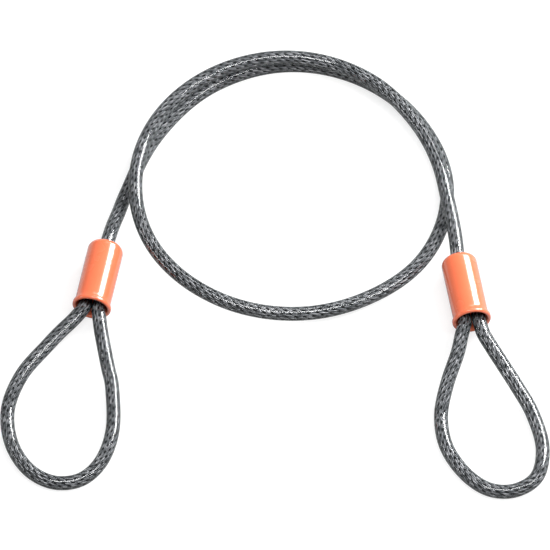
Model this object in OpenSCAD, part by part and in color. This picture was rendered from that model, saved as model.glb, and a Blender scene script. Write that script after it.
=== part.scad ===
// Security cable with an eye at each end. A steel wire rope runs under a clear
// cover and lies in a coil of one and a half turns. Each end of the rope is turned
// back into an eye and held by a pressed ferrule, and a soft sleeve hides the ferrule.
// +Z is up, the table is z = 0, and the origin is the middle of the coil on the table.

/* [Cable] */
// Outside diameter of the clear cover, across its flats
cable_d = 5; // [4.6:0.1:5.6]
// Diameter of the wire rope inside the cover
rope_d = 4; // [3.2:0.1:4.2]
// Gap round the rope, in its cover and in the ferrule
rope_fit = 0.05; // [0.04:0.01:0.1]
// Gap between two turns that lie on one another
turn_gap = 0.45; // [0.45:0.05:1.2]
// Gap between the two covers of an eye's legs where they start, inside the sleeve
cover_gap = 0.2; // [0.1:0.1:0.6]
// Gap between the two legs of an eye at the mouth of the sleeve
mouth_gap = 0.2; // [0.2:0.1:1.2]

/* [Coil] */
// Mean radius of the coil, to the middle of the cable
coil_r = 53.5; // [46:0.5:66]

/* [Ferrule] */
// Length of the pressed ferrule
ferrule_len = 10.6; // [9:0.2:12]
// Thickness of the ferrule's wall
ferrule_wall = 1.3; // [0.8:0.1:2]
// Gap between the two strands in the ferrule
strand_gap = 0.2; // [0.1:0.1:0.6]
// Gap between the ferrule and the legs of the eye
leg_gap = 0.4; // [0.2:0.1:1]
// How far the cut end of the rope stands out of the ferrule
tail_out = 1; // [0.4:0.1:2]
// Number of pressed bands round the ferrule
crimps = 3; // [1:1:3]
// Width of a pressed band
crimp_w = 1.8; // [1:0.1:2.2]
// Depth of a pressed band
crimp_depth = 0.25; // [0.1:0.05:0.5]

/* [Sleeve] */
// Length of each sleeve
sleeve_len = 26.5; // [25:0.5:32]
// Thickness of the sleeve's wall
sleeve_wall = 0.75; // [0.6:0.05:1.2]
// Thickness of the sleeve's closed end
end_wall = 2.4; // [1.6:0.1:3]
// Rounding of the sleeve's shoulder
shoulder_r = 2.4; // [1.6:0.1:3]
// How far the rolled lip stands out from the wall
lip_out = 0.6; // [0.1:0.05:0.8]
// Length of the rolled lip
lip_len = 1.3; // [1.2:0.1:3]
// Gap round the cable and the ferrule in the sleeve
sleeve_fit = 0.1; // [0.1:0.01:0.3]
// Gap round the two legs at the sleeve's mouth
mouth_fit = 0.3; // [0.2:0.05:0.8]
// Length over which the rope bends from the sleeve's middle to its own strand
bend_len = 7; // [6:0.5:8]

/* [Hidden] */
$fn = 96;

STEEL = "slategray";
CLEAR = [0.62, 0.66, 0.66];
ALUMINIUM = "lightgray";
ORANGE = [0.96, 0.5, 0.38];

// Tubes have eight sides, turned so that they lie flat on the table. Radii of the
// cover and the rope reach to their corners.
SIDES = 8;
cover_r = cable_d / 2 / cos(180 / SIDES);
rope_r = rope_d / 2;
bore_r = rope_r + rope_fit;

// Distances down the sleeve's axis, from its closed end
ferrule_top = end_wall + bend_len;
ferrule_end = ferrule_top + ferrule_len;
leg_start = ferrule_end + leg_gap;

// The strands lie beside each other in the ferrule and stand apart at the mouth.
strand_x = rope_r + strand_gap / 2;
mouth_x = (cable_d + mouth_gap) / 2;
cover_x = (cable_d + cover_gap) / 2;

// Radii of the sleeve: it clears the ferrule inside and the two legs at its mouth, and
// is nowhere narrower towards the mouth.
hole_r = cover_r + sleeve_fit;
sleeve_bore_r = strand_x + bore_r + ferrule_wall + sleeve_fit;
sleeve_r = sleeve_bore_r + sleeve_wall;
legs_r = norm([mouth_x + cable_d / 2, cover_r * sin(180 / SIDES)]);
mouth_bore_r = max(legs_r + mouth_fit, sleeve_bore_r);
mouth_r = mouth_bore_r + sleeve_wall;
lip_r = mouth_r + lip_out;
lip_round = (sleeve_wall + lip_out) / 2;

// Heights of the cable's middle: on the table, on the turn below, in the sleeves
low_z = cable_d / 2;
high_z = low_z + cable_d + turn_gap;
axis_z = lip_r;

// The winding starts on the table at the left, goes round by the back, climbs on the
// way along the front, and lies on the first turn to its end at the right.
FIRST_ANGLE = 7.5;
LAST_ANGLE = 540;
CLIMB_FROM = 200;
CLIMB_TO = 350;
COIL_STEPS = 36;
// How far the cable stands out from the mean radius, every 30 degrees from -30
SWELL_STEP = 30;
SWELL = [
    14.5, 3.5, -1.2, -1.2, -0.1, 0.2, 0.7, 2, 1.4, -0.6, -0.5,
    0.5, 1.5, 1, 0.5, 0, -0.4, -1.5, -2.2, 0.8, 7.6
];

// Left and right end
LEFT = 0;
RIGHT = 1;
WAY = [-1, 1];
REST_Z = [low_z, high_z];
// Closed end of each sleeve: outward from the mean radius, forward of the coil's
// middle, and the angle at which the mouth leans out
SLEEVE_OUT = [11.1, 5.65];
SLEEVE_FORWARD = [26, 31.5];
SLEEVE_LEAN = [11.4, 10.4];
// Route of the cable from the coil to the sleeve: outward, forward, and its rise,
// from 0 where it leaves the coil to 1 on the sleeve's axis
NECK = [
    [[5.3, 4, 0.05], [7, 10, 0.3], [8.8, 16, 0.62], [10.3, 22.2, 0.93]],
    [[2.4, 8.5, 0], [3.6, 15, 0.1], [4.8, 22.8, 0.6]]
];
// Route of each eye, from the mouth of the sleeve round and back: along the axis,
// across it to the right, and its rise, from 0 on the table to 1 on the axis
EYE = [
    [
        [5.4, -5, 0.97], [11.2, -8.6, 0.86], [17.7, -12.2, 0.74], [30.3, -18.6, 0.4],
        [44.4, -20.7, 0.08], [57.8, -16.7, 0], [67.4, -8.6, 0], [70.9, 1.3, 0],
        [67.6, 10.5, 0], [58.3, 15.9, 0], [44.8, 16.9, 0], [29.3, 13.5, 0.3],
        [21.4, 10.3, 0.55], [10.5, 6, 0.85], [5.3, 4.2, 0.96]
    ],
    [
        [5.2, 3, 0.95], [10.4, 4.6, 0.85], [18.9, 7.7, 0.6], [27.9, 10.9, 0.38],
        [38.9, 14.2, 0.12], [52.9, 15.2, 0], [64.6, 11.1, 0], [69, 2.4, 0], [66.9, -6.6, 0],
        [58.9, -13.6, 0], [46.9, -17.9, 0], [34.4, -17.5, 0.1], [22.9, -13.3, 0.45],
        [11.4, -7.3, 0.8], [5.2, -4.8, 0.94]
    ]
];
// Points of an eye's route that belong to its legs, past the mouth
LEG_POINTS = 2;
// Rings of a tube from one point of an eye's route to the next
EYE_STEPS = 2;
// Rings of the bend inside the sleeve, and how many of them the cover reaches
BEND_STEPS = 5;
COVER_STEPS = 1;

function ease(f) = let (g = max(0, min(1, f))) g * g * (3 - 2 * g);

// Smooth curve through a list of points, at a whole or broken index
function between(a, b, c, d, f) =
    b + f / 2 * (c - a + f * (2 * a - 5 * b + 4 * c - d + f * (3 * b - a - 3 * c + d)));
function curve_at(p, x) =
    let (
        i = min(floor(x), len(p) - 2),
        a = i > 0 ? p[i - 1] : 2 * p[0] - p[1],
        d = i < len(p) - 2 ? p[i + 2] : 2 * p[i + 1] - p[i]
    )
    between(a, p[i], p[i + 1], d, x - i);
function curved(p, steps) = [for (i = [0 : steps * (len(p) - 1)]) curve_at(p, i / steps)];

// Middle of the cable at an angle of the winding
function coil_point(angle) =
    let (
        r = coil_r + curve_at(SWELL, angle / SWELL_STEP + 1),
        z = low_z + (high_z - low_z) * ease((angle - CLIMB_FROM) / (CLIMB_TO - CLIMB_FROM))
    )
    [-r * cos(angle), r * sin(angle), z];
// Straight end of the coil, one cable diameter past an angle
function coil_end(angle, inward) =
    let (a = coil_point(angle), b = coil_point(angle + inward))
    a + cable_d * (a - b) / norm(a - b);
COIL = [
    coil_end(FIRST_ANGLE, 1),
    for (i = [0 : COIL_STEPS])
        coil_point(FIRST_ANGLE + (LAST_ANGLE - FIRST_ANGLE) * i / COIL_STEPS),
    coil_end(LAST_ANGLE, -1)
];

// Place of a sleeve's closed end, and of a point down its axis, across it and up
function sleeve_top(side) =
    [WAY[side] * (coil_r + SLEEVE_OUT[side]), -SLEEVE_FORWARD[side], axis_z];
function sleeve_turn(side) = WAY[side] * SLEEVE_LEAN[side];
function in_sleeve(side, down, across, rise = 1) =
    let (t = sleeve_turn(side), up = (low_z - axis_z) * (1 - rise))
    sleeve_top(side) + down * [sin(t), -cos(t), 0] + across * [cos(t), sin(t), 0]
    + [0, 0, up];

function neck_points(side) = [
    for (p = NECK[side])
        [WAY[side] * (coil_r + p[0]), -p[1], REST_Z[side] + (axis_z - REST_Z[side]) * p[2]],
    in_sleeve(side, 0, 0),
    in_sleeve(side, end_wall, 0)
];
function bend_points(side) = [
    for (i = [1 : BEND_STEPS])
        in_sleeve(side, end_wall + bend_len * i / BEND_STEPS,
            WAY[side] * strand_x * ease(i / BEND_STEPS))
];
// The two legs in the sleeve, from the ferrule to the mouth
function leg_down(i) = leg_start + (sleeve_len - leg_start) * i / 2;
function leg_across(i) = [strand_x, cover_x, mouth_x][i];
function eye_points(side) = curved([
    for (i = [0 : 2]) in_sleeve(side, leg_down(i), WAY[side] * leg_across(i)),
    for (p = EYE[side])
        in_sleeve(side, sleeve_len + p[0], p[1], p[2]),
    for (i = [2 : -1 : 0]) in_sleeve(side, leg_down(i), -WAY[side] * leg_across(i))
], EYE_STEPS);

// Whole route of an end, outward from the last point but one of the coil
function side_path(side) =
    let (last = len(COIL) - 1)
    concat(
        side == LEFT ? [COIL[1], COIL[0]] : [COIL[last - 1], COIL[last]],
        neck_points(side),
        bend_points(side),
        eye_points(side),
        [in_sleeve(side, ferrule_top - tail_out, -WAY[side] * strand_x)]
    );
SIDE = [side_path(LEFT), side_path(RIGHT)];
COIL_PATH = concat([neck_points(LEFT)[0]], COIL, [neck_points(RIGHT)[0]]);

// Where the pieces of an end begin and end, as places in its route
NECK_START = 1;
function bend_start(side) = NECK_START + len(NECK[side]) + 2;
function eye_start(side) = bend_start(side) + BEND_STEPS + 1;
function eye_stop(side) = eye_start(side) + EYE_STEPS * (len(EYE[side]) + 5);
LEG_RINGS = EYE_STEPS * (2 + LEG_POINTS);

// Least gap between turns that lie at least half a turn apart, along the winding
function to_segment(p, a, b) =
    let (ab = b - a, f = max(0, min(1, (p - a) * ab / (ab * ab))))
    norm(p - a - f * ab);
HALF_TURN = floor(180 * COIL_STEPS / (LAST_ANGLE - FIRST_ANGLE));
least_gap = min([
    for (i = [0 : len(COIL_PATH) - 1])
        for (j = [0 : len(COIL_PATH) - 2])
            if (abs(j - i) > HALF_TURN) to_segment(COIL_PATH[i], COIL_PATH[j], COIL_PATH[j + 1])
]) - cable_d;
echo(str("least gap of the coil to itself, in mm: ", least_gap));

// Ring of corners round a point of a route, square to the route
function ring(path, i, r) =
    let (
        ahead = path[min(i + 1, len(path) - 1)] - path[max(i - 1, 0)],
        along = ahead / norm(ahead),
        side = cross(along, [0, 0, 1]),
        across = side / norm(side),
        up = cross(across, along)
    )
    [for (k = [0 : SIDES - 1])
        let (a = (k + 0.5) * 360 / SIDES) path[i] + r * (across * cos(a) + up * sin(a))];

// Tube along a route from one of its points to another, solid where inner is 0
module tube(path, from, to, outer, inner = 0) {
    rings = to - from + 1;
    hollow = inner > 0;
    outside = [for (i = [from : to]) each ring(path, i, outer)];
    inside = hollow ? [for (i = [from : to]) each ring(path, i, inner)] : [];
    function at(i, k) = i * SIDES + k % SIDES;
    function in(i, k) = (rings + i) * SIDES + k % SIDES;
    walls = [
        for (i = [0 : rings - 2])
            for (k = [0 : SIDES - 1])
                each [
                    [at(i, k), at(i, k + 1), at(i + 1, k + 1)],
                    [at(i, k), at(i + 1, k + 1), at(i + 1, k)],
                    if (hollow) [in(i, k), in(i + 1, k + 1), in(i, k + 1)],
                    if (hollow) [in(i, k), in(i + 1, k), in(i + 1, k + 1)]
                ]
    ];
    last = rings - 1;
    caps = hollow
        ? [
            for (k = [0 : SIDES - 1])
                each [
                    [at(0, k), in(0, k), in(0, k + 1)],
                    [at(0, k), in(0, k + 1), at(0, k + 1)],
                    [at(last, k), in(last, k + 1), in(last, k)],
                    [at(last, k), at(last, k + 1), in(last, k + 1)]
                ]
        ]
        : [
            for (k = [1 : SIDES - 2])
                each [
                    [at(0, 0), at(0, k + 1), at(0, k)],
                    [at(last, 0), at(last, k), at(last, k + 1)]
                ]
        ];
    polyhedron(concat(outside, inside), concat(walls, caps));
}

module rope(path, from, to) {
    color(STEEL) tube(path, from, to, rope_r);
}

module cover(path, from, to) {
    color(CLEAR) tube(path, from, to, cover_r, bore_r);
}

// Lays a piece that stands on its own +Z axis along the axis of a sleeve
module laid_in(side) {
    translate(sleeve_top(side)) rotate([0, 0, sleeve_turn(side)]) rotate([90, 0, 0]) children();
}

// Outline of two strands side by side, with a margin round them
module oval(margin) {
    r = rope_r + margin;
    for (way = WAY) translate([way * strand_x, 0]) circle(r);
    square([2 * strand_x, 2 * r], center = true);
}

module coil_rope() {
    rope(COIL_PATH, 1, len(COIL));
}

module coil_cover() {
    cover(COIL_PATH, 1, len(COIL));
}

module neck_rope(side) {
    rope(SIDE[side], NECK_START, bend_start(side));
}

module neck_cover(side) {
    cover(SIDE[side], NECK_START, bend_start(side) + COVER_STEPS);
}

// Both strands in the ferrule: the one that carries, and the cut end beside it
module ferrule_ropes(side) {
    rope(SIDE[side], bend_start(side), eye_start(side));
    rope(SIDE[side], eye_stop(side), eye_stop(side) + 1);
}

// Oval tube, pressed in narrow bands at even steps
module ferrule(side) {
    pitch = ferrule_len / crimps;
    color(ALUMINIUM) laid_in(side) translate([0, 0, ferrule_top]) difference() {
        linear_extrude(ferrule_len) difference() {
            oval(rope_fit + ferrule_wall);
            oval(rope_fit);
        }
        for (i = [0 : crimps - 1])
            translate([0, 0, pitch * (i + 0.5) - crimp_w / 2]) linear_extrude(crimp_w)
                difference() {
                    oval(rope_fit + 2 * ferrule_wall);
                    oval(rope_fit + ferrule_wall - crimp_depth);
                }
    }
}

// Soft cap with a hole for the cable, round shoulder and rolled lip
module sleeve(side) {
    arc = [0 : 15 : 90];
    lip_arc = [0 : 20 : 180];
    lip_middle = mouth_bore_r + lip_round;
    color(ORANGE) laid_in(side) rotate_extrude() polygon([
        [hole_r, 0],
        for (a = arc) [sleeve_r - shoulder_r * (1 - sin(a)), shoulder_r * (1 - cos(a))],
        [mouth_r, sleeve_len - lip_len - lip_out],
        [lip_r, sleeve_len - lip_len],
        for (a = lip_arc)
            [lip_middle + lip_round * cos(a), sleeve_len - lip_round * (1 - sin(a))],
        [sleeve_bore_r, end_wall],
        [hole_r, end_wall]
    ]);
}

// The two legs of an eye, from the ferrule out through the sleeve's mouth
module leg_ropes(side) {
    rope(SIDE[side], eye_start(side), eye_start(side) + LEG_RINGS);
    rope(SIDE[side], eye_stop(side) - LEG_RINGS, eye_stop(side));
}

module leg_covers(side) {
    cover(SIDE[side], eye_start(side) + EYE_STEPS, eye_start(side) + LEG_RINGS);
    cover(SIDE[side], eye_stop(side) - LEG_RINGS, eye_stop(side) - EYE_STEPS);
}

module loop_rope(side) {
    rope(SIDE[side], eye_start(side) + LEG_RINGS, eye_stop(side) - LEG_RINGS);
}

module loop_cover(side) {
    cover(SIDE[side], eye_start(side) + LEG_RINGS, eye_stop(side) - LEG_RINGS);
}

coil_rope();
coil_cover();
neck_rope(LEFT);  // left_neck_rope
neck_cover(LEFT);  // left_neck_cover
ferrule(LEFT);  // left_ferrule
ferrule_ropes(LEFT);  // left_ferrule_ropes
sleeve(LEFT);  // left_sleeve
leg_ropes(LEFT);  // left_leg_ropes
leg_covers(LEFT);  // left_leg_covers
loop_rope(LEFT);  // left_loop_rope
loop_cover(LEFT);  // left_loop_cover
neck_rope(RIGHT);  // right_neck_rope
neck_cover(RIGHT);  // right_neck_cover
ferrule(RIGHT);  // right_ferrule
ferrule_ropes(RIGHT);  // right_ferrule_ropes
sleeve(RIGHT);  // right_sleeve
leg_ropes(RIGHT);  // right_leg_ropes
leg_covers(RIGHT);  // right_leg_covers
loop_rope(RIGHT);  // right_loop_rope
loop_cover(RIGHT);  // right_loop_cover
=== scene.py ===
"""Looped security cable: a wire rope under a clear cover, wound in a coil, with an eye
at each end and a soft sleeve over each pressed joint. The cable's route and the sleeves
are worked out in millimetres and turned into metres for the meshes."""

import math

import bpy
import numpy as np
from mathutils import Matrix, Vector


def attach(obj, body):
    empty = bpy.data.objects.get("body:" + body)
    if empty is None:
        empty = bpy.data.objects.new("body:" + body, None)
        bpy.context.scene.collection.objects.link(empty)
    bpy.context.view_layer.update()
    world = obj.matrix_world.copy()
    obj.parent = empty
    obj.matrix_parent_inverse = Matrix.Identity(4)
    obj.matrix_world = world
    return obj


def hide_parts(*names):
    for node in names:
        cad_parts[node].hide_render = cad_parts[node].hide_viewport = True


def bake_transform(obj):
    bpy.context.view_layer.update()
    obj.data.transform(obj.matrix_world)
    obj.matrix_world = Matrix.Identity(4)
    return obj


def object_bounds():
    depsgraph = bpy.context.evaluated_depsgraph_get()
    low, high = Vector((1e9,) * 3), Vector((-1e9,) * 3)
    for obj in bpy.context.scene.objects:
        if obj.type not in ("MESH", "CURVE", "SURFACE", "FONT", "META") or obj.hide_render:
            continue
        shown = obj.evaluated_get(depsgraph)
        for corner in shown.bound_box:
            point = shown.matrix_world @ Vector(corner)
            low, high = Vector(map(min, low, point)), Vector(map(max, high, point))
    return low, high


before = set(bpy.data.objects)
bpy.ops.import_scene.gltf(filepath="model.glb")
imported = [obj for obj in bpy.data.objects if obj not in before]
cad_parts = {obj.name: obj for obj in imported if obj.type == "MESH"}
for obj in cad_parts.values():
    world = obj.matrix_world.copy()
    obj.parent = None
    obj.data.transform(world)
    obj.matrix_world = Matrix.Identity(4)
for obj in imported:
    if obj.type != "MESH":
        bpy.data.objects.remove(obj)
CAD_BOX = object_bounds()

MM = 0.001
LEFT, RIGHT = 0, 1
SIDE_NAMES = ("left", "right")

# ---------------------------------------------------------------- sizes, in mm
CABLE_D = 5.0
COIL_R = 53.5
TURN_GAP = 0.45
END_WALL, BEND_LEN, FERRULE_LEN, LEG_GAP, TAIL_OUT = 2.4, 7.0, 10.6, 0.4, 1.0
SLEEVE_LEN, SLEEVE_WALL, SHOULDER_R, LIP_OUT, LIP_LEN = 26.5, 0.75, 2.4, 0.6, 1.3
STRAND_X, COVER_X, MOUTH_X = 2.1, 2.6, 2.6
HOLE_R, SLEEVE_BORE_R, MOUTH_BORE_R = 2.75, 5.55, 5.55
SLEEVE_R, MOUTH_R = SLEEVE_BORE_R + SLEEVE_WALL, MOUTH_BORE_R + SLEEVE_WALL
LIP_R = MOUTH_R + LIP_OUT
LEG_START = END_WALL + BEND_LEN + FERRULE_LEN + LEG_GAP
LOW_Z = CABLE_D / 2
HIGH_Z = LOW_Z + CABLE_D + TURN_GAP
AXIS_Z = LIP_R

# ------------------------------------------- the cable's route, as in the solids
FIRST_ANGLE, LAST_ANGLE = 7.5, 540.0
COIL_ENDS = ((FIRST_ANGLE, 1), (LAST_ANGLE, -1))  # angle, and a degree into the winding
CLIMB_FROM, CLIMB_TO = 200.0, 350.0
# mm that the winding lies outside COIL_R, at every SWELL_STEP degrees from a step
# before 0 degrees
SWELL_STEP = 30.0
SWELL = [14.5, 3.5, -1.2, -1.2, -0.1, 0.2, 0.7, 2, 1.4, -0.6, -0.5,
         0.5, 1.5, 1, 0.5, 0, -0.4, -1.5, -2.2, 0.8, 7.6]
WAY = (-1, 1)
REST_Z = (LOW_Z, HIGH_Z)
SLEEVE_OUT, SLEEVE_FORWARD, SLEEVE_LEAN = (11.1, 5.65), (26, 31.5), (11.4, 10.4)
# points of a neck: mm out from COIL_R, mm forward, and the rise from the height of the
# coil's end (0) to the height of the sleeve's axis (1)
NECK = (
    [(5.3, 4, 0.05), (7, 10, 0.3), (8.8, 16, 0.62), (10.3, 22.2, 0.93)],
    [(2.4, 8.5, 0), (3.6, 15, 0.1), (4.8, 22.8, 0.6)],
)
# points of an eye: mm on from the sleeve's mouth, mm across, and the rise from the
# table (0) to the height of the sleeve's axis (1)
EYE = (
    [(5.4, -5, 0.97), (11.2, -8.6, 0.86), (17.7, -12.2, 0.74), (30.3, -18.6, 0.4),
     (44.4, -20.7, 0.08), (57.8, -16.7, 0), (67.4, -8.6, 0), (70.9, 1.3, 0),
     (67.6, 10.5, 0), (58.3, 15.9, 0), (44.8, 16.9, 0), (29.3, 13.5, 0.3),
     (21.4, 10.3, 0.55), (10.5, 6, 0.85), (5.3, 4.2, 0.96)],
    [(5.2, 3, 0.95), (10.4, 4.6, 0.85), (18.9, 7.7, 0.6), (27.9, 10.9, 0.38),
     (38.9, 14.2, 0.12), (52.9, 15.2, 0), (64.6, 11.1, 0), (69, 2.4, 0),
     (66.9, -6.6, 0), (58.9, -13.6, 0), (46.9, -17.9, 0), (34.4, -17.5, 0.1),
     (22.9, -13.3, 0.45), (11.4, -7.3, 0.8), (5.2, -4.8, 0.94)],
)


def ease(f):
    """Smooth step: 3 f^2 - 2 f^3 of f held between 0 and 1."""
    f = np.clip(f, 0, 1)
    return f * f * (3 - 2 * f)


def smooth_through(points, x):
    """Catmull-Rom curve through the rows of points, at broken row numbers x. The row
    before the first and the one after the last are mirrored from their neighbours."""
    p = np.asarray(points, float)
    p = p[:, None] if p.ndim == 1 else p
    p = np.vstack([2 * p[0] - p[1], p, 2 * p[-1] - p[-2]])
    i = np.clip(np.floor(x).astype(int), 0, len(p) - 4)
    f = (x - i)[:, None]
    a, b, c, d = p[i], p[i + 1], p[i + 2], p[i + 3]
    return b + f / 2 * (
        c - a + f * (2 * a - 5 * b + 4 * c - d + f * (3 * b - a - 3 * c + d)))


def coil_points(angle):
    """Middle of the cable at angles of the winding: a circle whose radius swells by the
    curve of SWELL, and whose height eases from that of a cable on the table to that of
    a cable on the turn below."""
    r = COIL_R + smooth_through(SWELL, angle / SWELL_STEP + 1)[:, 0]
    z = LOW_Z + (HIGH_Z - LOW_Z) * ease((angle - CLIMB_FROM) / (CLIMB_TO - CLIMB_FROM))
    a = np.radians(angle)
    return np.stack([-r * np.cos(a), r * np.sin(a), z], 1)


def coil_end(side):
    """Straight end of the coil on one side: one cable diameter on from the end of the
    winding, in the direction from a point one degree further in."""
    angle, inward = COIL_ENDS[side]
    a, b = coil_points(np.array([angle, angle + inward]))
    return a + CABLE_D * (a - b) / np.linalg.norm(a - b)


def sleeve_frame(side):
    """Middle of a sleeve's closed end, its way down the axis and its way across."""
    lean = math.radians(WAY[side] * SLEEVE_LEAN[side])
    top = np.array([WAY[side] * (COIL_R + SLEEVE_OUT[side]), -SLEEVE_FORWARD[side], AXIS_Z])
    down = np.array([math.sin(lean), -math.cos(lean), 0])
    return top, down, np.array([math.cos(lean), math.sin(lean), 0])


def in_sleeve(side, down, across, rise=1.0):
    """Points some way down a sleeve's axis and across it. Rise goes from 0 on the
    table to 1 at the height of the axis."""
    top, way_down, way_across = sleeve_frame(side)
    down, across, rise = np.broadcast_arrays(*np.atleast_1d(down, across, rise))
    points = top + down[:, None] * way_down + across[:, None] * way_across
    points[:, 2] += (LOW_Z - AXIS_Z) * (1 - rise)
    return points


# points between two rows of a list, points of the bend, and which of these guides the
# neck's curve
SPAN_POINTS, BEND_POINTS, BEND_GUIDE = 24, 15, 3


def drawn(points, first, last):
    """Points of the curve through the rows of points, from one row to another."""
    return smooth_through(points, np.linspace(first, last, SPAN_POINTS * (last - first) + 1))


def end_route(side):
    """Route of one end outward from the coil, in parts: the neck to the sleeve's inner
    wall, the bend to the ferrule, the eye from the ferrule round and back, and the cut
    end. Neck and eye are Catmull-Rom curves, and the bend eases sideways. A point of
    the winding and one of the bend guide the neck's curve at its ends."""
    way, rest_z = WAY[side], REST_Z[side]
    winding = coil_points(np.array([COIL_ENDS[side][0]]))
    neck = [(way * (COIL_R + out), -forward, rest_z + (AXIS_Z - rest_z) * rise)
            for out, forward, rise in NECK[side]]
    f = np.linspace(0, 1, BEND_POINTS)
    bend = in_sleeve(side, END_WALL + BEND_LEN * f, way * STRAND_X * ease(f))
    neck = np.vstack([winding, coil_end(side), neck, in_sleeve(side, [0, END_WALL], 0),
                      bend[BEND_GUIDE]])
    neck = drawn(neck, 1, len(neck) - 2)
    leg_down = LEG_START + (SLEEVE_LEN - LEG_START) * np.array([0, 0.5, 1])
    leg_across = way * np.array([STRAND_X, COVER_X, MOUTH_X])
    down, across, rise = np.array(EYE[side], float).T
    eye = np.vstack([in_sleeve(side, leg_down, leg_across),
                     in_sleeve(side, SLEEVE_LEN + down, across, rise),
                     in_sleeve(side, leg_down[::-1], -leg_across[::-1])])
    eye = drawn(eye, 0, len(eye) - 1)
    tail = in_sleeve(side, END_WALL + BEND_LEN - TAIL_OUT, -way * STRAND_X)
    return neck, bend, eye, tail


COIL_STEP = 0.5  # degrees
LOOK_ROUND = 0.0008  # metres along the route
SEARCH_POINTS = 400


class Route:
    """The whole cable from cut end to cut end, with the distance along it and a frame
    at each point: along, to its left (level) and up (square to both)."""

    def __init__(self):
        turned = round((LAST_ANGLE - FIRST_ANGLE) / COIL_STEP)
        angles = np.linspace(FIRST_ANGLE, LAST_ANGLE, turned + 1)
        parts, names = [coil_points(angles)], ["coil"]
        for side in (LEFT, RIGHT):
            neck, bend, eye, tail = end_route(side)
            pieces = [neck, bend[1:], eye, tail]
            labels = [f"{SIDE_NAMES[side]}_{x}" for x in ("neck", "bend", "eye", "tail")]
            if side == LEFT:
                parts = [p[::-1] for p in pieces[::-1]] + parts
                names = labels[::-1] + names
            else:
                parts, names = parts + pieces, names + labels
        points = np.vstack(parts) * MM
        gaps = np.linalg.norm(np.diff(points, axis=0), axis=1)
        self.at = np.concatenate([[0], np.cumsum(gaps)])
        self.points, self.length = points, self.at[-1]
        ends = np.cumsum([len(p) for p in parts])
        self.span = {n: (self.at[e - len(p)], self.at[e - 1])
                     for n, p, e in zip(names, parts, ends)}

    def place(self, s):
        """Points of the route at distances s along it."""
        return np.stack([np.interp(s, self.at, self.points[:, k]) for k in range(3)], 1)

    def frame(self, s):
        """Points, and the unit vectors along, left and up at distances s. Along is
        taken from a little before to a little after, which evens out short steps."""
        low, high = (np.clip(s + d, 0, self.length) for d in (-LOOK_ROUND, LOOK_ROUND))
        along = unit(self.place(high) - self.place(low))
        left = unit(np.cross([0, 0, 1], along))
        return self.place(s), along, left, np.cross(along, left)


def unit(v):
    """Vectors of length 1 along the last axis."""
    return v / np.linalg.norm(v, axis=-1, keepdims=True)


route = Route()


def on_sleeve(side, down):
    """Distance along the route at which the cable, between coil and ferrule, is some
    way down the sleeve's axis."""
    name = SIDE_NAMES[side]
    ends = route.span[f"{name}_neck"] + route.span[f"{name}_bend"]
    s = np.linspace(min(ends), max(ends), SEARCH_POINTS)
    top, way_down, _ = sleeve_frame(side)
    far = (route.place(s) / MM - top) @ way_down
    order = np.argsort(far)
    return float(np.interp(down, far[order], s[order]))


# ------------------------------------------------------------------------ camera
VIEW_UP, VIEW_FAR = math.radians(57), 8.0
PICTURE, PIXELS_PER_MM, ORIGIN_PX = 550, 2.84, (290.0, 195.1)
SENSOR_MM, CLIP_END = 36, 40


def add_camera():
    """Long lens, so that the view is nearly square on. It looks down at 57 degrees, at
    the table point that falls in the middle of the picture."""
    camera = bpy.data.objects.new("camera", bpy.data.cameras.new("camera"))
    bpy.context.scene.collection.objects.link(camera)
    right, down = (PICTURE / 2 - c for c in ORIGIN_PX)
    aim = Vector((right, -down / math.sin(VIEW_UP), 0)) * MM / PIXELS_PER_MM
    back = Vector((0, -math.cos(VIEW_UP), math.sin(VIEW_UP)))
    camera.location = aim + VIEW_FAR * back
    camera.rotation_euler = (-back).to_track_quat("-Z", "Y").to_euler()
    camera.data.sensor_width = SENSOR_MM
    camera.data.lens = SENSOR_MM * VIEW_FAR / (PICTURE * MM / PIXELS_PER_MM)
    camera.data.clip_end = CLIP_END
    bpy.context.scene.camera = camera


add_camera()

# ------------------------------------------------------------------ mesh from grids
SHOWN, HIDDEN_CAP = 0, 1


def tube_faces(rings, around, first):
    """Corner numbers of the faces of a capped tube whose rings lie one after another:
    squares between the rings, and a fan from each end's middle, which come last."""
    i, j = np.meshgrid(np.arange(rings - 1), np.arange(around), indexing="ij")
    k = (j + 1) % around
    wall = np.stack([i * around + j, i * around + k,
                     (i + 1) * around + k, (i + 1) * around + j], -1).reshape(-1, 4)
    j = np.arange(around)
    k = (j + 1) % around
    last, middle = (rings - 1) * around, rings * around
    start = np.stack([k, j, np.full(around, middle)], 1)
    stop = np.stack([last + j, last + k, np.full(around, middle + 1)], 1)
    return first + wall, first + np.vstack([start, stop])


def fill_mesh(name, points, quads, fans):
    """Mesh of these points and faces, the quads first."""
    mesh = bpy.data.meshes.new(name)
    corners = np.concatenate([quads.ravel(), fans.ravel()])
    starts = np.concatenate([np.arange(len(quads)) * 4,
                             len(quads) * 4 + np.arange(len(fans)) * 3])
    mesh.vertices.add(len(points))
    mesh.vertices.foreach_set("co", points.astype(np.float32).ravel())
    mesh.loops.add(len(corners))
    mesh.loops.foreach_set("vertex_index", corners.astype(np.int32))
    mesh.polygons.add(len(starts))
    mesh.polygons.foreach_set("loop_start", starts.astype(np.int32))
    return mesh


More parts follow.
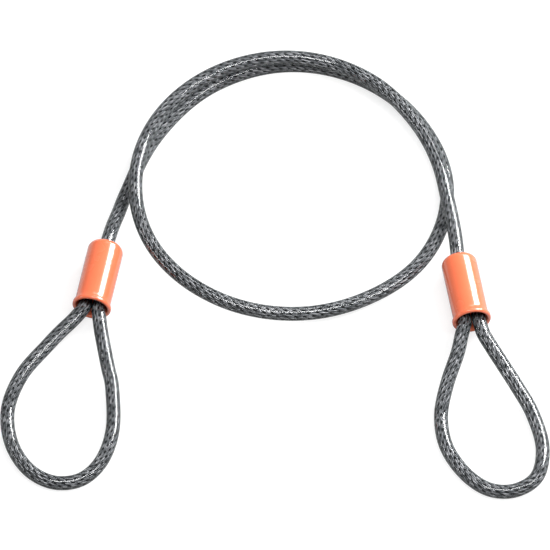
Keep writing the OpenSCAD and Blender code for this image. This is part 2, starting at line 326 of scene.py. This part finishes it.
def add_route_attributes(mesh, grids, s):
    """Attributes of the points of tubes whose rings lie at distances s on the route:
    the turn round the route, counted on from turn to turn, and the distance along
    it. The two middles of a tube's caps get 0."""
    middle, _, left, up = route.frame(s)
    turn, along = [], []
    for grid in grids:
        out = grid - middle[:, None]
        angle = np.arctan2((out * up[:, None]).sum(-1), (out * left[:, None]).sum(-1))
        angle = np.unwrap(np.unwrap(angle, axis=1), axis=0)
        turn += [angle.ravel() / (2 * np.pi), [0, 0]]
        along += [np.repeat(s, grid.shape[1]), [0, 0]]
    for label, values in (("turn", turn), ("along", along)):
        mesh.attributes.new(label, "FLOAT", "POINT").data.foreach_set(
            "value", np.concatenate(values).astype(np.float32))


def sharpen_rims(mesh, on_rim):
    """Makes the edges between rim points sharp, so that the caps leave the shading of
    the walls alone, and it runs on where two pieces meet."""
    pairs = np.empty(2 * len(mesh.edges), np.int32)
    mesh.edges.foreach_get("vertices", pairs)
    mesh.edges.foreach_set("use_edge_sharp", on_rim[pairs].reshape(-1, 2).all(1))


def tubes(name, grids, spacing, cap=SHOWN, span=None):
    """Mesh object of capped tubes. Each grid holds rings of points, counted round the
    tube against the clock as seen from its end. The UV map runs once round each tube
    in u and along it in metres in v. With span, where on the route the tubes start
    and stop, the points also have the attributes turn and along."""
    points, on_rim, quads, fans, uv_wall, uv_cap = [], [], [], [], [], []
    first = 0
    for grid in grids:
        rings, around, _ = grid.shape
        points += [grid.reshape(-1, 3), grid[[0, -1]].mean(1)]
        rim = np.zeros((rings, around), bool)
        rim[[0, -1]] = True
        on_rim += [rim.ravel(), [False, False]]
        wall, caps = tube_faces(rings, around, first)
        quads.append(wall)
        fans.append(caps)
        first += rings * around + 2
        i, j = np.meshgrid(np.arange(rings - 1), np.arange(around), indexing="ij")
        u = np.stack([j, j + 1, j + 1, j], -1) / around
        v = np.stack([i, i, i + 1, i + 1], -1) * spacing
        uv_wall.append(np.stack([u, v], -1).reshape(-1, 2))
        uv_cap.append(np.full((len(caps) * 3, 2), 0.5))
    quads, fans = np.vstack(quads), np.vstack(fans)
    mesh = fill_mesh(name, np.vstack(points), quads, fans)
    is_wall = np.arange(len(quads) + len(fans)) < len(quads)
    mesh.polygons.foreach_set("use_smooth", is_wall)
    mesh.polygons.foreach_set("material_index",
                              np.where(is_wall, SHOWN, cap).astype(np.int32))
    layer = mesh.uv_layers.new(name="UVMap")
    layer.uv.foreach_set("vector", np.vstack(uv_wall + uv_cap).astype(np.float32).ravel())
    if span is not None:
        add_route_attributes(mesh, grids, steps(*span, spacing))
    mesh.update(calc_edges=True)
    sharpen_rims(mesh, np.concatenate(on_rim))
    mesh.validate()
    piece = bpy.data.objects.new(name, mesh)
    bpy.context.scene.collection.objects.link(piece)
    return piece


# ------------------------------------------------------------------- cable's pieces
# lengths in metres: a lay is the length of one turn
COVER_AROUND, COVER_STEP = 36, 0.0011
STRANDS, STRAND_LAY, WIRE_LAY = 6, 0.0185, 0.009
WIRE_STEP = 0.0008
WIRES, WIRE_CORNERS = 6, 5
STRAND_MID, STRAND_R = 0.0011, 0.0009
WIRE_R = STRAND_R / (1 + 1 / math.sin(math.pi / WIRES))
CORE_R, CORE_AROUND = 0.0007, 8


def steps(start, stop, step):
    """Distances along the route from start to stop, evenly spaced by about a step."""
    return np.linspace(start, stop, max(2, round((stop - start) / step) + 1))


def cover_grid(start, stop):
    """Round tube along the route: rings of one radius, square to it."""
    s = steps(start, stop, COVER_STEP)
    middle, _, left, up = route.frame(s)
    a = np.linspace(0, 2 * np.pi, COVER_AROUND, endpoint=False)[None, :, None]
    r = CABLE_D / 2 * MM
    return middle[:, None] + r * (np.cos(a) * left[:, None] + np.sin(a) * up[:, None])


def lobes():
    """Outline of a ring of wires that touch: from each wire the arc that lies outside
    the ring through the touching points, as angle and distance from the middle."""
    half = np.pi / 2 + np.pi / WIRES
    arc = np.linspace(-half, half, WIRE_CORNERS, endpoint=False)
    place = np.arange(WIRES)[:, None] * 2 * np.pi / WIRES
    x = (STRAND_R - WIRE_R) * np.cos(place) + WIRE_R * np.cos(place + arc)
    y = (STRAND_R - WIRE_R) * np.sin(place) + WIRE_R * np.sin(place + arc)
    return np.arctan2(y, x).ravel(), np.hypot(x, y).ravel()


def strand_grid(start, stop, number):
    """One strand of the rope. Its middle winds round the route once in STRAND_LAY, and
    its outline of wires turns the other way once in WIRE_LAY, so that the wires run
    along the rope where they show. Both turn by the distance along the whole route,
    so that pieces that meet join up."""
    s = steps(start, stop, WIRE_STEP)
    middle, along, left, up = route.frame(s)
    phase = 2 * np.pi * (s / STRAND_LAY + number / STRANDS)
    c, d = np.cos(phase)[:, None], np.sin(phase)[:, None]
    outward, sideways = c * left + d * up, c * up - d * left
    slope = 2 * np.pi * STRAND_MID / STRAND_LAY
    sideways = unit(sideways - slope * along)
    middle = middle + STRAND_MID * outward
    angle, distance = lobes()
    turn = angle[None, :] - 2 * np.pi * (s / WIRE_LAY + number / STRANDS)[:, None]
    ring = distance[None, :, None] * (
        np.cos(turn)[..., None] * outward[:, None] + np.sin(turn)[..., None] * sideways[:, None])
    return middle[:, None] + ring


def core_grid(start, stop):
    """Middle strand of the rope, hidden by the others: a plain round tube."""
    s = steps(start, stop, WIRE_STEP)
    middle, _, left, up = route.frame(s)
    a = np.linspace(0, 2 * np.pi, CORE_AROUND, endpoint=False)[None, :, None]
    return middle[:, None] + CORE_R * (np.cos(a) * left[:, None] + np.sin(a) * up[:, None])


# ------------------------------------------------------------------------ materials
class Socket:
    """A shader socket with arithmetic: each operator adds the Math node it stands for."""

    def __init__(self, shader, socket):
        self.shader, self.socket = shader, socket

    def _math(self, operation, *values):
        return self.shader.node("ShaderNodeMath", {"operation": operation}, *values)

    def __add__(self, other):
        return self._math("ADD", self, other)

    def __sub__(self, other):
        return self._math("SUBTRACT", self, other)

    def __rsub__(self, other):
        return self._math("SUBTRACT", other, self)

    def __mul__(self, other):
        return self._math("MULTIPLY", self, other)

    def __pow__(self, other):
        return self._math("POWER", self, other)

    __radd__, __rmul__ = __add__, __mul__

    def fraction(self):
        return self._math("FRACT", self)

    def size(self):
        return self._math("ABSOLUTE", self)

    def clamp(self, low=0.0, high=1.0):
        return self._math("MAXIMUM", self._math("MINIMUM", self, high), low)

    def spread(self, factor):
        """Spreads values out from a half, held between 0 and 1."""
        return ((self - 0.5) * factor + 0.5).clamp()


class Shader:
    """A material or world being built from nodes."""

    def __init__(self, name, world=False):
        self.made = bpy.data.worlds.new(name) if world else bpy.data.materials.new(name)
        self.made.use_nodes = True
        self.tree = self.made.node_tree
        self.tree.nodes.clear()
        self.world = world

    def node(self, kind, settings=None, *values, out=0, at=None, **named):
        """Adds a node and gives its output out. Settings are set first, a ramp's stops
        among them. Then come the values or links of its sockets, in order, by number
        in at, or by name, with _ for a space."""
        node = self.tree.nodes.new(kind)
        for key, value in (settings or {}).items():
            if key == "stops":
                ramp = node.color_ramp.elements
                while len(ramp) < len(value):
                    ramp.new(0.5)
                for stop, (place, colour) in zip(ramp, value):
                    stop.position, stop.color = place, (*colour, 1)
            else:
                setattr(node, key, value)
        given = dict(enumerate(values)) | (at or {})
        given |= {key.replace("_", " "): value for key, value in named.items()}
        for key, value in given.items():
            socket = node.inputs[key]
            if isinstance(value, Socket):
                self.tree.links.new(value.socket, socket)
            elif hasattr(value, "__len__") and len(socket.default_value) == 4:
                socket.default_value = (*value, 1)
            else:
                socket.default_value = value
        return Socket(self, node.outputs[out]) if node.outputs else None

    def mix(self, share, a, b):
        """Colour between a and b by share."""
        return self.node("ShaderNodeMix", {"data_type": "RGBA"},
                         out=2, at={0: share, 6: a, 7: b})

    def noise(self, scale, detail=2.0, stretch=(1, 1, 1), source="Object"):
        """Noise over the Object coordinates or the UV map, stretched along its axes."""
        where = self.node("ShaderNodeTexCoord", out=source)
        where = self.node("ShaderNodeMapping", None, Vector=where, Scale=stretch)
        return self.node("ShaderNodeTexNoise", None, Vector=where, Scale=scale,
                         Detail=detail)

    def principled(self, **values):
        """Principled shader with these values or links."""
        return self.node("ShaderNodeBsdfPrincipled", None, **values)

    def finish(self, surface):
        """Sends a shader to the output, and gives the finished material."""
        self.node("ShaderNodeOutputWorld" if self.world else "ShaderNodeOutputMaterial",
                  None, Surface=surface)
        return self.made


# on the rope's UV map: cells of noise round a strand and to a metre of it
FLECKS, SCRATCHES = (9, 420, 1), (60, 900, 1)
# rows of pits of painted shade round the rope, where the rows start, how far a pit leans,
# and the height and steepness of the paraboloid that a pit is cut from
PIT_ROWS, PIT_START, PIT_LEAN, PIT_SIZE, PIT_STEEP = 10, 0.7, 0.37, 1.85, 16


def painted_pit_shade(m):
    """Painted shade in the pits between the strands, in rows along the rope. A row has a
    pit for each strand that passes it, and from row to row the pits follow the strands
    round. A pit's painted shade is a paraboloid cut off at 1, so that it is even in the
    middle and fades at the edge."""
    turn, along = (m.node("ShaderNodeAttribute", {"attribute_name": name}, out="Fac")
                   for name in ("turn", "along"))
    row = turn * PIT_ROWS
    across = row.fraction() - 0.5
    number = row - row.fraction()
    step = (along * (STRANDS / STRAND_LAY) - number * (STRANDS / PIT_ROWS) + PIT_START)
    step = step.fraction() - 0.5
    across = across - step * PIT_LEAN
    pit_shade = (PIT_SIZE - step * step * PIT_STEEP - across * across * PIT_STEEP).clamp()
    unevenness = (m.noise(500.0, 1.0) * 1.2 + 0.4).clamp()
    return pit_shade * unevenness


def steel_wire():
    """Drawn and galvanised wire: grey metal that varies from wire to wire and in short
    flecks along each, with fine scratches in its roughness. Shade is painted into its
    colour: dark in the pits between the strands and in the grooves between a strand's wires."""
    m = Shader("steel_wire")
    flecks = m.noise(1.0, 1.0, FLECKS, "UV").spread(2.6)
    scratches = m.noise(1.0, 3.0, SCRATCHES, "UV")
    shade = flecks * 0.75 + m.noise(420.0, 1.0) * 0.25
    colour = m.node("ShaderNodeValToRGB", {"stops": [
        (0.1, (0.06, 0.065, 0.07)), (0.5, (0.16, 0.165, 0.175)),
        (0.9, (0.36, 0.36, 0.375))]}, shade)
    # painted shade: the pits between the strands and the grooves between a strand's wires are
    # darkened in the colour
    pit_shade = painted_pit_shade(m)
    round_strand = m.node("ShaderNodeSeparateXYZ", None, m.node("ShaderNodeTexCoord", out="UV"))
    groove = ((round_strand * WIRES).fraction() - 0.5).size() * 2
    painted_shade = (pit_shade + groove ** 4 * 0.6).clamp()
    colour = m.mix(painted_shade, colour, (0.012, 0.014, 0.014))
    rough = 0.6 + scratches * 0.2
    return m.finish(m.principled(Base_Color=colour, Metallic=1.0, Roughness=rough))


def clear_vinyl():
    """Clear cover of the cable: bends light, and is tinted a little, more at its rims,
    where one looks through more of it."""
    m = Shader("clear_vinyl")
    waves = m.noise(160.0, 1.0)
    normal = m.node("ShaderNodeBump", None, Strength=0.012, Distance=0.0004, Height=waves)
    facing_away = m.node("ShaderNodeLayerWeight", None, Blend=0.5, out="Facing")
    rim = (facing_away * facing_away * 2.4).clamp()
    tint = m.mix(rim, (0.94, 0.955, 0.95), (0.19, 0.27, 0.26))
    return m.finish(m.principled(
        Base_Color=tint, Roughness=0.03, IOR=1.5,
        Transmission_Weight=1.0, Specular_IOR_Level=1.0, Normal=normal))


def unseen():
    """Nothing at all: where two lengths of cover meet, their ends don't show."""
    m = Shader("unseen_joint")
    return m.finish(m.principled(Base_Color=(1, 1, 1), Alpha=0.0))


def orange_vinyl():
    """Soft glossy salmon vinyl, a little mottled, with a faint ripple."""
    m = Shader("orange_vinyl")
    cloud = m.noise(90.0, 3.0)
    colour = m.mix(cloud, (0.93, 0.17, 0.07), (0.97, 0.22, 0.10))
    ripple = m.noise(300.0, 2.0)
    normal = m.node("ShaderNodeBump", None, Strength=0.06, Distance=0.0003, Height=ripple)
    return m.finish(m.principled(
        Base_Color=colour, Roughness=0.22 + cloud * 0.1, Coat_Weight=1.0,
        Coat_Roughness=0.05, Normal=normal))


def pressed_aluminium():
    """Pressed aluminium of the ferrules, dull, with fine marks along it."""
    m = Shader("pressed_aluminium")
    marks = m.noise(700.0, 4.0, (1, 0.2, 1))
    colour = m.mix(marks, (0.62, 0.62, 0.63), (0.84, 0.84, 0.85))
    return m.finish(m.principled(Base_Color=colour, Metallic=1.0,
                                 Roughness=0.3 + marks * 0.25))


STEEL, CLEAR, UNSEEN = steel_wire(), clear_vinyl(), unseen()
VINYL, ALUMINIUM = orange_vinyl(), pressed_aluminium()

# --------------------------------------------------------------------- the cable
# in mm: the covers stop inside the sleeve, the neck's this far down its axis, and the
# eye's half way between the ferrule and the mouth
NECK_COVER_DOWN = END_WALL + BEND_LEN / 5
EYE_COVER_IN = (SLEEVE_LEN - LEG_START) / 2
# in mm: a place just inside the mouth and one a little way out of it
HINGE_IN, HINGE_OUT = 1, 10
PATH_STEP = 0.003  # metres between the points worked out along a length of cover


def add_cover(name, start, stop, nodes):
    """Length of clear cover."""
    piece = tubes(name, [cover_grid(start, stop)], COVER_STEP, cap=HIDDEN_CAP)
    for material in (CLEAR, UNSEEN):
        piece.data.materials.append(material)
    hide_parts(*nodes)
    piece.visible_shadow = False
    return piece


def add_strands(name, start, stop, nodes, numbers=range(STRANDS), core=True):
    """Length of rope: some or all of its strands, and the middle one."""
    grids = [strand_grid(start, stop, k) for k in numbers]
    if core:
        grids.append(core_grid(start, stop))
    piece = tubes(name, grids, WIRE_STEP, span=(start, stop))
    piece.data.materials.append(STEEL)
    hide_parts(*nodes)
    return piece


def declare(start, stop):
    """Works out the points along a length of cover's own part of the route, and its length."""
    path = route.place(steps(start, stop, PATH_STEP))
    stop - start


def add_coil():
    """Coil: its cover, and its strands in three pieces, two strands to a piece."""
    first, last = route.span["coil"]
    strands = [add_strands(f"coil_strands_{k + 1}", first, last, ["coil_rope"],
                           range(k, STRANDS, 3), core=k == 0) for k in range(3)]
    cover = add_cover("coil_cover_clear", first, last, ["coil_cover"])
    for piece in (cover, *strands):
        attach(piece, "coil")
    declare(first, last)


def ferrule_end(side):
    """Distance along the route at which the neck's rope comes out of the ferrule, where
    the eye begins."""
    low, high = route.span[f"{SIDE_NAMES[side]}_eye"]
    return high if side == LEFT else low


def add_neck(side):
    """Neck of one end, from the coil into the sleeve, and its rope on through the
    ferrule. It starts where the winding ends, a cable diameter before the neck of the
    solids does, and follows the coil there."""
    name = SIDE_NAMES[side]
    coil_stop = route.span["coil"][side]
    low, high = sorted((coil_stop, on_sleeve(side, NECK_COVER_DOWN)))
    cover = add_cover(f"{name}_neck_cover_clear", low, high, [f"{name}_neck_cover"])
    strands = add_strands(f"{name}_neck_strands", *sorted((coil_stop, ferrule_end(side))),
                          [f"{name}_neck_rope", f"{name}_ferrule_ropes"])
    for piece in (cover, strands):
        coil_end(side) * MM
        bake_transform(piece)
    declare(low, high)


def add_eye(side):
    """Eye of one end: its cover, and its rope from the ferrule round and back through
    it to the cut end."""
    name = SIDE_NAMES[side]
    eye_low, eye_high = route.span[f"{name}_eye"]
    low, high = eye_low + EYE_COVER_IN * MM, eye_high - EYE_COVER_IN * MM
    cover = add_cover(f"{name}_eye_cover_clear", low, high,
                      [f"{name}_leg_covers", f"{name}_loop_cover"])
    cut_end = route.span[f"{name}_tail"][side]
    strands = add_strands(f"{name}_eye_strands", *sorted((ferrule_end(side), cut_end)),
                          [f"{name}_leg_ropes", f"{name}_loop_rope"])
    start, end = in_sleeve(side, [SLEEVE_LEN - HINGE_IN, SLEEVE_LEN + HINGE_OUT], 0) * MM
    for piece in (cover, strands):
        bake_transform(piece)
    declare(low, high)


add_coil()
for side in (LEFT, RIGHT):
    add_neck(side)
    add_eye(side)

# -------------------------------------------------------------------- the sleeves
# points round a sleeve, and along the parts of its outline
SLEEVE_AROUND = 128
SHOULDER_POINTS, WALL_POINTS, FLARE_POINTS, LIP_POINTS, BORE_POINTS = 13, 16, 7, 17, 12
SHARP_FROM = math.radians(50)  # where faces turn by more than this, the edge is sharp


def sleeve_profile():
    """Outline of the sleeve's wall as distance from the axis and distance down it, from
    the edge of the hole over the shoulder, down the wall to the rolled lip, and up the
    bore. Shoulder and lip are arcs, and the wall steps out to the lip by an eased
    curve. Wall and bore have points on the way, which keep the faces short."""
    arc = np.radians(np.linspace(0, 90, SHOULDER_POINTS))
    shoulder = np.stack([SLEEVE_R - SHOULDER_R * (1 - np.sin(arc)),
                         SHOULDER_R * (1 - np.cos(arc))], 1)
    wall_end = SLEEVE_LEN - LIP_LEN - LIP_OUT
    f = np.linspace(0, 1, WALL_POINTS)[1:-1]
    wall = np.stack([SLEEVE_R + (MOUTH_R - SLEEVE_R) * f,
                     SHOULDER_R + (wall_end - SHOULDER_R) * f], 1)
    f = np.linspace(0, 1, FLARE_POINTS)
    flare = np.stack([MOUTH_R + LIP_OUT * ease(f), wall_end + LIP_OUT * f], 1)
    round_r = (SLEEVE_WALL + LIP_OUT) / 2
    arc = np.radians(np.linspace(0, 180, LIP_POINTS))
    lip = np.stack([MOUTH_BORE_R + round_r * (1 + np.cos(arc)),
                    SLEEVE_LEN - round_r * (1 - np.sin(arc))], 1)
    lip_inner = lip[-1, 1]
    f = np.linspace(0, 1, BORE_POINTS)[1:]
    bore = np.stack([MOUTH_BORE_R + (SLEEVE_BORE_R - MOUTH_BORE_R) * f,
                     lip_inner + (END_WALL - lip_inner) * f], 1)
    return np.vstack([[HOLE_R, 0], shoulder, wall, flare, lip, bore, [HOLE_R, END_WALL]])


def add_sleeve(side):
    """Soft cap: the profile turned round the sleeve's axis, closed on itself."""
    name = SIDE_NAMES[side]
    profile = sleeve_profile() * MM
    top, down, across = sleeve_frame(side)
    a = np.linspace(0, 2 * np.pi, SLEEVE_AROUND, endpoint=False)
    outward = np.cos(a)[:, None] * across + np.sin(a)[:, None] * np.array([0, 0, 1.0])
    points = (top * MM + profile[:, None, 1:] * down + profile[:, None, :1] * outward[None])
    rings, around = points.shape[:2]
    i, j = np.meshgrid(np.arange(rings), np.arange(around), indexing="ij")
    i2, j2 = (i + 1) % rings, (j + 1) % around
    quads = np.stack([i * around + j, i * around + j2, i2 * around + j2, i2 * around + j],
                     -1).reshape(-1, 4)
    mesh = bpy.data.meshes.new(f"{name}_sleeve_vinyl")
    mesh.from_pydata(points.reshape(-1, 3).tolist(), [], quads.tolist())
    mesh.polygons.foreach_set("use_smooth", [True] * len(quads))
    mesh.set_sharp_from_angle(angle=SHARP_FROM)
    mesh.materials.append(VINYL)
    piece = bpy.data.objects.new(mesh.name, mesh)
    bpy.context.scene.collection.objects.link(piece)
    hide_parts(f"{name}_sleeve")
    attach(piece, f"{name}_end")


def dress_ferrule(side):
    """The ferrule is the solid's own mesh, in bare metal."""
    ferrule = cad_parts[f"{SIDE_NAMES[side]}_ferrule"]
    ferrule.data.materials.clear()
    ferrule.data.materials.append(ALUMINIUM)


for side in (LEFT, RIGHT):
    add_sleeve(side)
    dress_ferrule(side)


# -------------------------------------------------------------- floor and lights
FLOOR_SIZE = 8
FLOOR_PAINT, FLOOR_GLOW = (0.34, 0.34, 0.34), 0.72
MIRRORED_GLOW = 0.25  # share of the glow that metal and glass show


def add_floor():
    """Wide pale floor. It shines as white to the camera, and less in metal and glass,
    and keeps a soft shadow."""
    bpy.ops.mesh.primitive_plane_add(size=FLOOR_SIZE, location=(0, 0, CAD_BOX[0][2]))
    floor = bpy.context.object
    floor.name = "floor"
    m = Shader("pale_floor")
    camera, gloss, glass = (m.node("ShaderNodeLightPath", out=k) for k in (
        "Is Camera Ray", "Is Glossy Ray", "Is Transmission Ray"))
    seen = (camera + (gloss + glass) * MIRRORED_GLOW).clamp()
    paint = m.node("ShaderNodeBsdfDiffuse", None, Color=FLOOR_PAINT)
    glow = m.node("ShaderNodeEmission", None, Color=(1, 1, 1), Strength=seen * FLOOR_GLOW)
    floor.data.materials.append(m.finish(m.node("ShaderNodeAddShader", None, paint, glow)))


LAMPS = (
    # name, its two ends as directions from the object, width, brightness
    ("right_front_strip", (0.52, -0.33, 0.78), (0.58, -0.02, 0.76), 0.3, 10),
    ("right_back_strip", (0.70, 0.34, 0.62), (0.56, 0.68, 0.48), 0.5, 20),
    ("overhead_strip", (-0.27, -0.17, 0.95), (0.36, -0.10, 0.93), 0.24, 12),
    ("back_strip", (0.02, 0.66, 0.75), (0.42, 0.67, 0.61), 0.14, 4),
    ("left_strip", (-0.93, -0.35, 0.25), (-0.90, 0.20, 0.40), 0.12, 5),
)
LAMP_AIM, LAMP_FAR = Vector((-0.005, -0.035, 0.005)), 1.0
ROOM_LIGHT = 0.2


def add_lamps():
    """Strip lamps round the object, and an even light from all round. Each lamp stands
    square to the way from the object to its middle, and its power is brightness x area
    x pi."""
    for name, one, other, width, bright in LAMPS:
        one, other = Vector(one).normalized(), Vector(other).normalized()
        way, length = (one + other).normalized(), LAMP_FAR * (other - one).length
        lamp = bpy.data.lights.new(name, "AREA")
        lamp.shape, lamp.size, lamp.size_y = "RECTANGLE", length, width * LAMP_FAR
        lamp.energy = bright * lamp.size * lamp.size_y * math.pi
        holder = bpy.data.objects.new(name, lamp)
        bpy.context.scene.collection.objects.link(holder)
        along = (other - one).normalized()
        turn = Matrix((along, way.cross(along), way)).transposed().to_4x4()
        holder.matrix_world = Matrix.Translation(LAMP_AIM + LAMP_FAR * way) @ turn
    m = Shader("studio", world=True)
    bpy.context.scene.world = m.finish(
        m.node("ShaderNodeBackground", None, Color=(1, 1, 1), Strength=ROOM_LIGHT))


add_floor()
add_lamps()
bpy.context.scene.view_settings.view_transform = "Standard"
